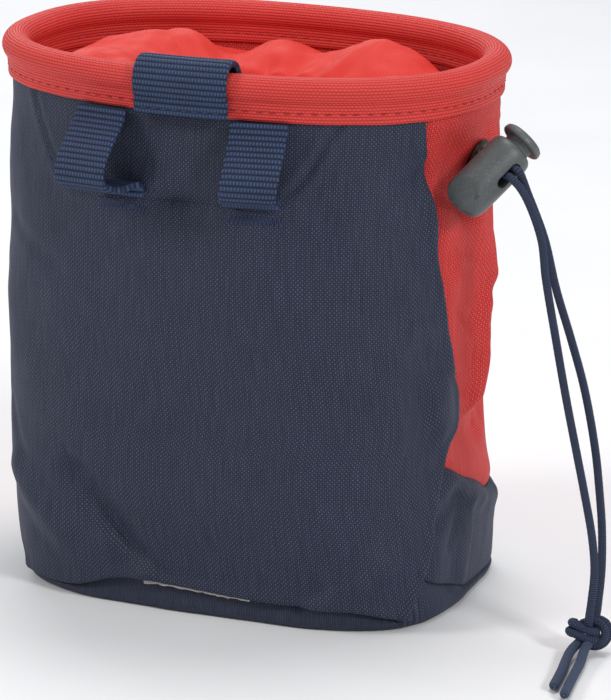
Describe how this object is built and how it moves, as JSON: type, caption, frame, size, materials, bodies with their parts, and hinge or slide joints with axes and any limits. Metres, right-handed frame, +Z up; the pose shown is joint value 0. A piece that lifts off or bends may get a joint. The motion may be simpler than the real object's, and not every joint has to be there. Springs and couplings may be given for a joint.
{
  "type": "climbing chalk bag",
  "caption": "Standing cloth chalk bag with a stiff padded rim, a gathered closure, webbing loops on the wearer's side and a drawcord with a sprung lock.",
  "frame": {"origin": "on the underside of the base, near its middle; the bag stands on z = 0", "axes": "+Z up to the mouth, +X to the side with the drawcord, -Y out of the wearer's side with the webbing loops"},
  "size_m": [0.1729, 0.1101, 0.1466],
  "materials": {
    "navy_cloth": "woven nylon, dark navy",
    "red_cloth": "woven polyester, warm red",
    "collar_cloth": "light twill, orange-red",
    "navy_webbing": "ribbed webbing, navy",
    "pale_label": "thin woven strip, plain",
    "dark_metal": "dark nickel, worn",
    "grey_plastic": "moulded, matte",
    "navy_cord": "braided sheath"
  },
  "bodies": {
    "bag": {"back_panel": "navy_cloth", "lower_panel": "navy_cloth", "red_panel": "red_cloth", "base": "navy_cloth", "rim_binding": "red_cloth", "rim_tab": "navy_webbing", "closure_collar": "collar_cloth", "belt_loop_left": "navy_webbing", "belt_loop_right": "navy_webbing", "label_tab": "pale_label", "eyelet": "dark_metal", "cord_lock_barrel": "grey_plastic", "cord_strand_left": "navy_cord", "cord_strand_right": "navy_cord", "cord_knot": "navy_cord", "cord_tail_left": "navy_cord", "cord_tail_right": "navy_cord"},
    "plunger": {"cord_lock_button": "grey_plastic"}
  },
  "joints": [
    {"name": "cord_lock_press", "type": "slide", "parent": "bag", "child": "plunger", "axis": [-0.5139, -0.5779, -0.6339], "range_m": [0, 0.0015], "stiffness_N_per_m": 500, "springref_m": -0.004}
  ]
}
